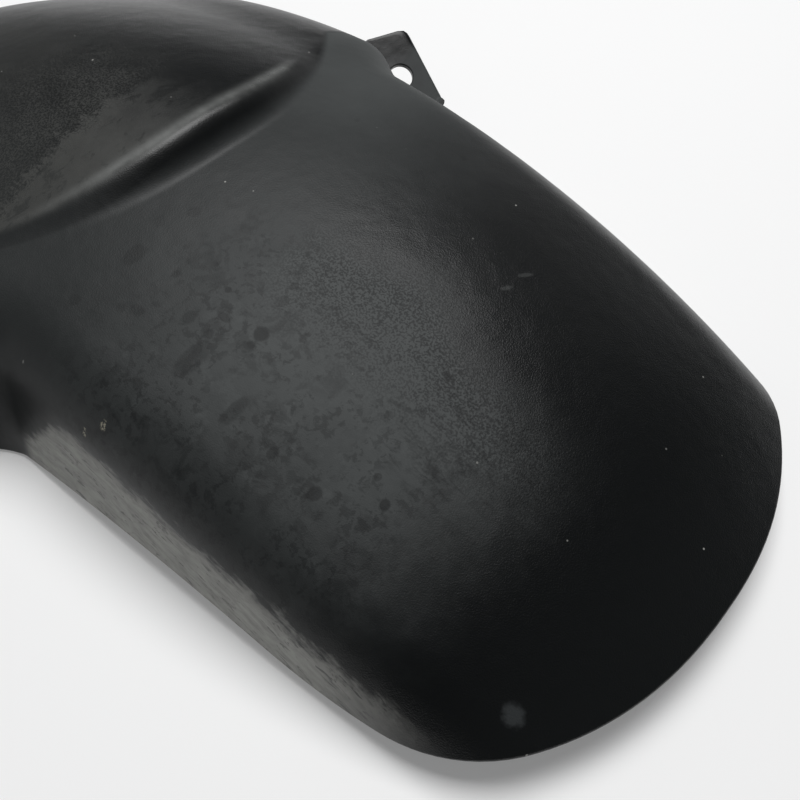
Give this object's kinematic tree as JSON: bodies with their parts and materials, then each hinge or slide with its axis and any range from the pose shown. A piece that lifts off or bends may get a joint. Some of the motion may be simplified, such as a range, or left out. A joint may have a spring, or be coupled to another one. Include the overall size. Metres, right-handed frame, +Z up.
{
  "type": "motorcycle mudguard",
  "caption": "Moulded black plastic motorcycle mudguard with a rounded tail blade, a raised front panel behind a crescent step, drafted side walls flared beside the panel and a bored fixing lug on each side.",
  "frame": {"origin": "centre of the bounding box at its base: the floor the side rims rest on, midway between nose and tail and between the lugs", "axes": "+X forward, from the tail to the nose; +Y to the left; +Z up, away from the wheel"},
  "size_m": [0.3404, 0.2224, 0.0639],
  "materials": {
    "mudguard": "fine leather grain, moulded in black, dusty"
  },
  "bodies": {
    "root": {"mudguard": "mudguard"}
  },
  "joints": []
}
